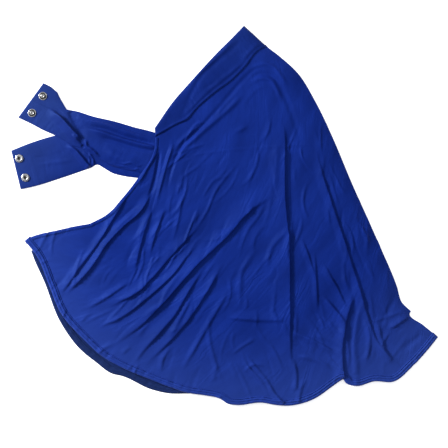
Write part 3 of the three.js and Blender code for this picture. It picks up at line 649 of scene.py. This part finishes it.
def knit(name, tone=1.0, sheen_pale=(0.021, 0.049, 0.272)):
    """Satin-faced stretch knit in royal blue: fine slanting ribs, uneven dye, pressed creases, a
    faint sheen, and a paler tone painted on as sheen away from the cape's middle."""
    finish, tree, skin = shader(name)
    place = new_node(tree, "TexCoord")
    dye = new_node(tree, "TexNoise", Scale=16, Detail=5)
    deep = (0.0025 * tone, 0.0115 * tone, 0.133 * tone)
    bright = (0.0048 * tone, 0.0200 * tone, 0.207 * tone)
    blues = two_tones(tree, deep, bright, 0.32, 0.70)
    # Painted sheen: the colour turns paler by the point attribute.
    sheen_attribute = new_node(tree, "Attribute")
    sheen_attribute.attribute_name = "painted_sheen"
    sheened = new_node(tree, "Mix")
    sheened.data_type = "RGBA"
    sheened.inputs["B"].default_value = (*sheen_pale, 1)
    turn = new_node(tree, "Mapping", Rotation=(0, 0, math.radians(28)))
    ribs = new_node(tree, "TexWave", Scale=420, Distortion=1.2, Detail=2, Detail_Scale=3)
    crossed = new_node(tree, "Mapping", Rotation=(0, 0, math.radians(-24)), Scale=(46, 11, 1))
    creases = new_node(tree, "TexNoise", Scale=1, Detail=3, Distortion=0.5)
    creased = new_node(tree, "Math")
    creased.operation = "PINGPONG"
    creased.inputs[1].default_value = 0.14
    rumpled = new_node(tree, "MapRange", From_Min=0.42, From_Max=0.68)
    masked = new_node(tree, "Math")
    masked.operation = "MULTIPLY"
    crumple = new_node(tree, "Bump", Strength=0.5, Distance=0.008)
    loops = new_node(tree, "TexVoronoi", Scale=1400)
    weave = new_node(tree, "Math")
    weave.operation = "ADD"
    fine = new_node(tree, "Bump", Strength=0.35, Distance=0.00012)
    slub = new_node(tree, "TexNoise", Scale=90, Detail=6)
    rumple = new_node(tree, "Bump", Strength=0.35, Distance=0.0008)
    gloss = new_node(tree, "MapRange", To_Min=0.46, To_Max=0.62)
    link(
        tree,
        place.outputs["UV"], dye.inputs["Vector"],
        place.outputs["UV"], turn.inputs["Vector"],
        place.outputs["UV"], slub.inputs["Vector"],
        place.outputs["UV"], loops.inputs["Vector"],
        turn.outputs["Vector"], ribs.inputs["Vector"],
        dye.outputs["Fac"], blues.inputs["Fac"],
        blues.outputs["Color"], sheened.inputs["A"],
        sheen_attribute.outputs["Fac"], sheened.inputs["Factor"],
        sheened.outputs["Result"], skin.inputs["Base Color"],
        ribs.outputs["Fac"], weave.inputs[0],
        loops.outputs["Distance"], weave.inputs[1],
        weave.outputs["Value"], fine.inputs["Height"],
        slub.outputs["Fac"], rumple.inputs["Height"],
        place.outputs["UV"], crossed.inputs["Vector"],
        crossed.outputs["Vector"], creases.inputs["Vector"],
        creases.outputs["Fac"], creased.inputs[0],
        creased.outputs["Value"], masked.inputs[0],
        dye.outputs["Fac"], rumpled.inputs["Value"],
        rumpled.outputs["Result"], masked.inputs[1],
        masked.outputs["Value"], crumple.inputs["Height"],
        crumple.outputs["Normal"], rumple.inputs["Normal"],
        rumple.outputs["Normal"], fine.inputs["Normal"],
        fine.outputs["Normal"], skin.inputs["Normal"],
        slub.outputs["Fac"], gloss.inputs["Value"],
        gloss.outputs["Result"], skin.inputs["Roughness"],
    )
    skin.inputs["Specular IOR Level"].default_value = 0.16
    skin.inputs["Specular Tint"].default_value = (0.18, 0.42, 1.0, 1)
    skin.inputs["Sheen Weight"].default_value = 0.03
    skin.inputs["Sheen Roughness"].default_value = 0.42
    skin.inputs["Sheen Tint"].default_value = (0.25, 0.42, 1.0, 1)
    return finish


def metal(name, colour, roughness):
    """Plated metal with fine turning marks and a little tarnish."""
    finish, tree, skin = shader(name)
    place = new_node(tree, "TexCoord")
    marks = new_node(tree, "TexNoise", Scale=900, Detail=4)
    tarnish = new_node(tree, "TexNoise", Scale=160)
    tones = two_tones(tree, [c * 0.72 for c in colour], colour, end=0.55)
    rough = new_node(tree, "MapRange", To_Min=roughness * 0.8, To_Max=roughness * 1.5)
    bump = new_node(tree, "Bump", Strength=0.15, Distance=0.00004)
    link(
        tree,
        place.outputs["Object"], marks.inputs["Vector"],
        place.outputs["Object"], tarnish.inputs["Vector"],
        tarnish.outputs["Fac"], tones.inputs["Fac"],
        tones.outputs["Color"], skin.inputs["Base Color"],
        marks.outputs["Fac"], rough.inputs["Value"],
        rough.outputs["Result"], skin.inputs["Roughness"],
        marks.outputs["Fac"], bump.inputs["Height"],
        bump.outputs["Normal"], skin.inputs["Normal"],
    )
    skin.inputs["Metallic"].default_value = 1.0
    return finish


def stiffener(name):
    """White non-woven interfacing with matted fibres."""
    finish, tree, skin = shader(name)
    place = new_node(tree, "TexCoord")
    fibres = new_node(tree, "TexNoise", Scale=700, Detail=8)
    tones = two_tones(tree, (0.55, 0.55, 0.52), (0.82, 0.82, 0.79))
    bump = new_node(tree, "Bump", Distance=0.0001)
    link(
        tree,
        place.outputs["Object"], fibres.inputs["Vector"],
        fibres.outputs["Fac"], tones.inputs["Fac"],
        tones.outputs["Color"], skin.inputs["Base Color"],
        fibres.outputs["Fac"], bump.inputs["Height"],
        bump.outputs["Normal"], skin.inputs["Normal"],
    )
    skin.inputs["Roughness"].default_value = 0.9
    return finish


def thread(name):
    """Twisted polyester sewing thread in navy."""
    finish, tree, skin = shader(name)
    place = new_node(tree, "TexCoord")
    twist = new_node(tree, "TexWave", Scale=1500)
    tones = two_tones(tree, (0.003, 0.010, 0.070), (0.005, 0.018, 0.120))
    link(
        tree,
        place.outputs["Object"], twist.inputs["Vector"],
        twist.outputs["Fac"], tones.inputs["Fac"],
        tones.outputs["Color"], skin.inputs["Base Color"],
    )
    skin.inputs["Roughness"].default_value = 0.7
    skin.inputs["Specular IOR Level"].default_value = 0.15
    skin.inputs["Specular Tint"].default_value = (0.18, 0.42, 1.0, 1)
    return finish


CLOTH = knit("royal_blue_knit")
BAND = knit("neck_band_knit", tone=0.80, sheen_pale=(0.012, 0.030, 0.150))
HEM = knit("hem_knit", tone=1.10)
STRAP = knit("strap_knit", tone=0.9, sheen_pale=(0.016, 0.034, 0.150))
# The cape's inside: its duller wrong side, with its tone darkened to 0.55 as painted shade under the
# upper layer.
INSIDE_PAINTED_SHADE = knit("cape_inside_knit_painted_shade", tone=0.55, sheen_pale=(0.014, 0.026, 0.085))
NICKEL = metal("press_stud_nickel", (0.52, 0.52, 0.53), 0.26)
# Dark metal painted as shade in the press studs' recesses and holes.
RECESS_PAINTED_SHADE = metal("press_stud_painted_shade", (0.035, 0.033, 0.032), 0.55)
THREAD = thread("navy_thread")
SPRING = metal("spring_wire", (0.50, 0.50, 0.50), 0.34)
STAY = stiffener("stay_interfacing")

# ---------------------------------------------------------------- the cape's cloth
hem_line = spread(UPPER_HEM, np.linspace(0, 1, 400))
hem_left = left_of(hem_line)
hem_inner = hem_line + hem_left * HEM_WIDTH
hem_tuck = hem_line + hem_left * HEM_TUCK
seam_left = left_of(SEAM)
seam_tuck = SEAM + seam_left * SEAM_TUCK
front_left = left_of(FRONT_EDGE)
front_inner = FRONT_EDGE + front_left * FRONT_WIDTH

# The last few columns stand closer together, over the back fold.
columns, rows = ((372, 250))
wide_columns, close_columns = 4, 20
even = np.linspace(0, 1, columns - close_columns + wide_columns)
close = np.linspace(even[-wide_columns], 1, close_columns + 1)[1:]
across = np.concatenate([even[:-wide_columns], close])
down = np.linspace(0, 1, rows)
front_side = np.vstack([seam_tuck[:1], FRONT_EDGE[:-1], hem_tuck[:1]])
fold_side = np.vstack([seam_tuck[-1:], BACK_FOLD[:-1], hem_tuck[-1:]])
flat = patch(seam_tuck, hem_tuck, front_side, fold_side, across, down)
upper_cloth = surface("upper_cloth", laid(flat, upper_layer), CLOTH)

upper_hem = strip(
    "upper_hem_turning", hem_line, hem_inner, upper_layer, thickness=3.4 * MM, sink=0.9 * MM,
    steps=700, across=32, finish=HEM, ripple=0.25, groove=1.5 * MM, roundness=3,
)
upper_band = strip(
    "upper_neck_band_doubled", BAND_TOP, SEAM, upper_layer, thickness=2.6 * MM, sink=0.9 * MM,
    steps=150, across=26, finish=BAND, ripple=0.12,
)
upper_front = strip(
    "upper_front_turning", FRONT_EDGE, front_inner, upper_layer, thickness=1.8 * MM, sink=0.9 * MM,
    steps=200, across=8, finish=CLOTH, ripple=0.25,
)

# The lower cloth stands back from the front edge, and joins its hem short of the corner.
corner_points = 12
low_hem_line = spread(LOWER_HEM, np.linspace(0, 1, 300))
low_left = left_of(low_hem_line)
low_inner = low_hem_line + low_left * HEM_WIDTH
low_tuck = low_hem_line + low_left * HEM_TUCK
low_edge = (FRONT_EDGE + front_left * FRONT_TUCK)[:-corner_points]
low_front = np.vstack([seam_tuck[:1], low_edge, low_tuck[:1]])
low_fold = np.vstack([seam_tuck[-1:], BACK_FOLD[:-1], low_tuck[-1:]])
low_across, low_down = np.linspace(0, 1, 90), np.linspace(0, 1, 200)
low_flat = patch(seam_tuck, low_tuck, low_front, low_fold, low_across, low_down)
# The lower layer's cloth and hem take the inside knit, darkened as painted shade.
lower_cloth = surface("lower_cloth", laid(low_flat, lower_layer), INSIDE_PAINTED_SHADE)
lower_hem = strip(
    "lower_hem_turning", low_hem_line, low_inner, lower_layer, thickness=2.6 * MM, sink=0.4 * MM,
    steps=420, across=16, finish=INSIDE_PAINTED_SHADE, ripple=0.3, groove=1.0 * MM, roundness=3,
)
lower_band = strip(
    "lower_neck_band_doubled", BAND_TOP, SEAM, lower_layer, thickness=2.4 * MM, sink=0.4 * MM,
    steps=90, across=12, finish=BAND,
)


# ---------------------------------------------------------------- the straps
# What each strap lies on: distances from its tip and heights, in millimetres
UPPER_STRAP_GROUND = [(0, 1.45), (30, 1.45), (60, 2.9), (150, 3.2), (240, 3.2)]
LOWER_STRAP_GROUND = [(0, 1.95), (30, 1.95), (52, 0.35), (150, 0.35), (190, 0.9), (260, 0.9)]


def strap_layer(folds, neck_side, free_side, stations, seed):
    """The height of a strap's underside. It lies flat at the tip, under the press studs."""
    middle = (spread(neck_side, np.linspace(0, 1, 60)) + spread(free_side, np.linspace(0, 1, 60))) / 2
    total = lengths(middle)[-1]

    def layer(places):
        lift, shift = folded(places, folds, seed)
        _, share, _ = beside(places, middle)
        distance = share * total / MM
        ground = np.interp(distance, *zip(*stations)) * MM
        x, y = places[:, 0], places[:, 1]
        past_studs = ramp((distance - 22) / 25)
        past_tip = ramp((distance - 4) / 12)
        crumple = 0.22 * MM * cloudy(x / 0.014, y / 0.014, seed + 90, 3) * past_studs
        height = np.maximum(ground + lift * past_tip + crumple, 0.2 * MM)
        return height, shift * past_tip[:, None]

    return layer


upper_strap_layer = strap_layer(
    UPPER_STRAP_FOLDS, STRAP_A_NECK, STRAP_A_FREE, UPPER_STRAP_GROUND, 201
)
upper_strap = strip(
    "upper_strap_doubled", STRAP_A_NECK, STRAP_A_FREE, upper_strap_layer, thickness=2.25 * MM,
    sink=0, steps=230, across=64, finish=STRAP,
)
lower_strap_layer = strap_layer(
    LOWER_STRAP_FOLDS, STRAP_B_NECK, STRAP_B_FREE, LOWER_STRAP_GROUND, 301
)
lower_strap = strip(
    "lower_strap_doubled", STRAP_B_NECK, STRAP_B_FREE, lower_strap_layer, thickness=2.2 * MM,
    sink=0, steps=230, across=64, finish=STRAP,
)


def stay(name, neck_side, free_side, height):
    """A patch of interfacing inside a strap's end, square to it and clear of its edges."""
    u = np.linspace(STAY_START, STAY_END, 9)
    v = np.linspace(0.15, 0.85, 13)[:, None, None]
    a = np.stack([np.interp(u, lengths(neck_side), neck_side[:, i]) for i in range(2)], axis=1)
    b = np.stack([np.interp(u, lengths(free_side), free_side[:, i]) for i in range(2)], axis=1)
    flat = a[None] * (1 - v) + b[None] * v
    table = np.concatenate([flat, np.full((*flat.shape[:2], 1), height)], axis=2)
    return surface(name, table, STAY)


upper_stay = stay("upper_strap_interfacing", STRAP_A_NECK, STRAP_A_FREE, 2.0 * MM)
lower_stay = stay("lower_strap_interfacing", STRAP_B_NECK, STRAP_B_FREE, 2.9 * MM)


# ---------------------------------------------------------------- stitching
def stitching(name, path, layer, above):
    """A row of stitches along a line, each a short bead of thread raised above a layer."""
    count = int(lengths(path)[-1] / STITCH_GAP)
    row = spread(path, (np.arange(count) + 0.5) / count)
    laid_row = laid(row[None], layer)[0]
    along = np.gradient(laid_row, axis=0)
    bm = bmesh.new()
    for place, way in zip(laid_row, along):
        turn = Vector(way).to_track_quat("X", "Z").to_matrix().to_4x4()
        size = Matrix.Diagonal((*STITCH_HALVES, 1))
        centre = Matrix.Translation(Vector(place) + Vector((0, 0, above)))
        bmesh.ops.create_icosphere(bm, subdivisions=1, radius=1, matrix=centre @ turn @ size)
    mesh = mesh_of(bm, name)
    mesh.shade_smooth()
    return placed(name, mesh, THREAD)


hem_row = hem_line + hem_left * HEM_SEWN
seam_row = SEAM + seam_left * SEAM_SEWN
front_row = (FRONT_EDGE + front_left * FRONT_SEWN)[STITCH_START:]
hem_stitches = stitching("upper_hem_stitching", hem_row, upper_layer, 0.75 * MM)
seam_stitches = stitching("neck_seam_stitching", seam_row, upper_layer, 0.55 * MM)
front_stitches = stitching("upper_front_stitching", front_row, upper_layer, 0.1 * MM)


# ---------------------------------------------------------------- the press studs
def turned(name, node, profile, dark):
    """A turned piece that stands where a node of the frame does.

    Its profile is radii and heights in mm. Between the two dark radii its faces take a dark finish,
    painted shade for a recess.
    """
    low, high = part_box(node)
    centre = Vector(((low.x + high.x) / 2, (low.y + high.y) / 2, low.z))
    bm = bmesh.new()
    ring = [bm.verts.new(centre + Vector((radius, 0, height)) * MM) for radius, height in profile]
    edges = [bm.edges.new(pair) for pair in zip(ring, ring[1:])]
    bmesh.ops.spin(
        bm, geom=[*ring, *edges], cent=centre, axis=(0, 0, 1), angle=2 * math.pi, steps=TURNED_STEPS,
        use_merge=True,
    )
    bmesh.ops.remove_doubles(bm, verts=bm.verts, dist=0.002 * MM)
    bmesh.ops.recalc_face_normals(bm, faces=bm.faces)
    mesh = mesh_of(bm, name)
    mesh.shade_smooth()
    piece = placed(name, mesh, NICKEL, RECESS_PAINTED_SHADE)
    for face in mesh.polygons:
        radius = (face.center - centre).xy.length
        face.material_index = int(dark[0] * MM < radius < dark[1] * MM)
    return piece


STUD = [
    (0, 0), (6.2, 0), (6.8, 0.15), (7.0, 0.45), (6.85, 0.8), (6.4, 0.98), (5.9, 0.85), (5.5, 0.5),
    (4.6, 0.42), (4.1, 0.5), (3.6, 0.7), (3.15, 1.1), (3.0, 1.6), (3.05, 2.2), (3.35, 2.9),
    (3.38, 3.4), (3.2, 3.8), (2.7, 3.98), (2.2, 3.9), (1.9, 3.4), (1.7, 2.4), (1.5, 1.4), (0, 1.3),
]
EYELET = [
    (0, 0.1), (1.6, 0.1), (2.0, 0), (6.4, 0), (6.85, 0.12), (7.0, 0.4), (6.8, 0.72), (6.3, 0.8),
    (0, 0.8),
]
SOCKET = [
    (0, 0), (6.2, 0), (6.8, 0.15), (7.0, 0.45), (6.85, 0.85), (6.4, 1.05), (6.1, 1.15), (6.0, 1.8),
    (5.8, 2.35), (5.3, 2.6), (4.2, 2.62), (3.7, 2.5), (3.45, 2.2), (3.5, 1.9), (4.6, 1.7),
    (4.7, 1.1), (4.3, 0.8), (2.5, 0.75), (2.2, 1.0), (1.9, 1.05), (1.7, 0.8), (1.6, 0.3), (0, 0.25),
]
CAP = [
    (0, 0.0), (2.5, 0.03), (4.6, 0.2), (6.1, 0.5), (6.8, 0.85), (7.0, 1.15), (6.8, 1.45), (6.4, 1.6),
    (0, 1.6),
]
# The dark radii mark painted shade: the stud's sunken ring and the holes of the eyelet and socket.
for kind, profile, label, body, dark in (
    ("stud", STUD, "press_stud", "upper_strap", (3.5, 5.2)),
    ("stud_eyelet", EYELET, "press_stud_back", "upper_strap", (0, 1.6)),
    ("socket", SOCKET, "press_stud_socket", "lower_strap_end", (0, 2.3)),
    ("socket_cap", CAP, "press_stud_cap", "lower_strap_end", (0, 0)),
):
    for number in (1, 2):
        piece = turned(f"{label}_{number}", f"{kind}_{number}", profile, dark)
        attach(piece, body)
        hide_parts(f"{kind}_{number}")

# ---------------------------------------------------------------- riding on the frame
for piece, node in (
    (upper_cloth, "upper_panel"),
    (upper_hem, "upper_hem"),
    (upper_band, "upper_neck_band"),
):
    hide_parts(node)
for piece in (upper_cloth, upper_hem, upper_band, hem_stitches, seam_stitches):
    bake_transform(piece)
for piece in (upper_front, front_stitches):
    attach(piece, "cape_upper")
for piece, node in (
    (lower_cloth, "lower_panel"),
    (lower_hem, "lower_hem"),
    (lower_band, "lower_neck_band"),
):
    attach(piece, "cape_lower")
    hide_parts(node)


def strap_rides(piece, joint_name, nodes):
    """Fixes a strap where it lies and hides the frame's parts for it. Its hinge and the side its end
    lies on are found, but not used.
    """
    joint = next(j for j in frame["joints"] if j["name"] == joint_name)
    pivot = Vector(joint["pos_m"])
    towards = Vector(joint["axis"]).cross(Vector((0, 0, 1))).normalized()
    low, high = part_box(nodes[0])
    if towards.dot((low + high) / 2 - pivot) < 0:
        towards.negate()
    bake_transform(piece)
    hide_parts(*nodes)


strap_rides(
    upper_strap, "upper_strap_lift",
    ["upper_strap_outer_ply", "upper_strap_inner_ply", "upper_strap_root"],
)
strap_rides(
    lower_strap, "lower_strap_end_lift",
    ["lower_strap_outer_ply", "lower_strap_inner_ply", "lower_strap_root"],
)

for piece, node, body in (
    (upper_stay, "upper_strap_stay", "upper_strap"),
    (lower_stay, "lower_strap_stay", "lower_strap_end"),
):
    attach(piece, body)
    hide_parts(node)
for number in (1, 2):
    node = frame["nodes"][f"socket_spring_{number}"]
    node.data.materials.clear()
    node.data.materials.append(SPRING)

# ---------------------------------------------------------------- floor, light and camera
bm = bmesh.new()
bmesh.ops.create_grid(bm, x_segments=1, y_segments=1, size=4)
paper, _, paper_skin = shader("white_paper")
paper_skin.inputs["Base Color"].default_value = (0.92, 0.92, 0.92, 1)
paper_skin.inputs["Roughness"].default_value = 0.9
paper_skin.inputs["Emission Color"].default_value = (1, 1, 1, 1)
paper_skin.inputs["Emission Strength"].default_value = 0.6
floor = placed("floor", mesh_of(bm, "floor"), paper)
floor.location.z = CAD_LOW.z - FLOOR_DROP

world = bpy.context.scene.world or bpy.data.worlds.new("studio")
bpy.context.scene.world = world
world.use_nodes = True
sky = world.node_tree.nodes["Background"]
sky.inputs["Color"].default_value = (0.96, 0.98, 1.0, 1)
sky.inputs["Strength"].default_value = 0.34


def softbox(name, azimuth, elevation, distance, size, power):
    """A square light that looks at the cape's middle. Azimuth is its bearing from +X."""
    lamp = bpy.data.lights.new(name, "AREA")
    lamp.shape = "SQUARE"
    lamp.size = size
    lamp.energy = power
    light = bpy.data.objects.new(name, lamp)
    a, e = math.radians(azimuth), math.radians(elevation)
    place = Vector((math.cos(a) * math.cos(e), math.sin(a) * math.cos(e), math.sin(e))) * distance
    light.location = place
    light.rotation_euler = (-place).to_track_quat("-Z", "Y").to_euler()
    bpy.context.scene.collection.objects.link(light)


softbox("key_light", azimuth=158, elevation=31, distance=2.4, size=0.5, power=88)
softbox("top_light", azimuth=70, elevation=72, distance=2.4, size=1.6, power=14)

VIEW_WIDTH = 0.7616
VIEW_CENTRE = Vector((0.0002, -0.0141, 0))
CAMERA_HEIGHT = 2.2
lens = bpy.data.cameras.new("camera")
lens.sensor_width = 36
lens.lens = lens.sensor_width * CAMERA_HEIGHT / VIEW_WIDTH
camera = bpy.data.objects.new("camera", lens)
camera.location = VIEW_CENTRE + Vector((0, 0, CAMERA_HEIGHT))
bpy.context.scene.collection.objects.link(camera)
bpy.context.scene.camera = camera
bpy.context.scene.view_settings.view_transform = "Standard"
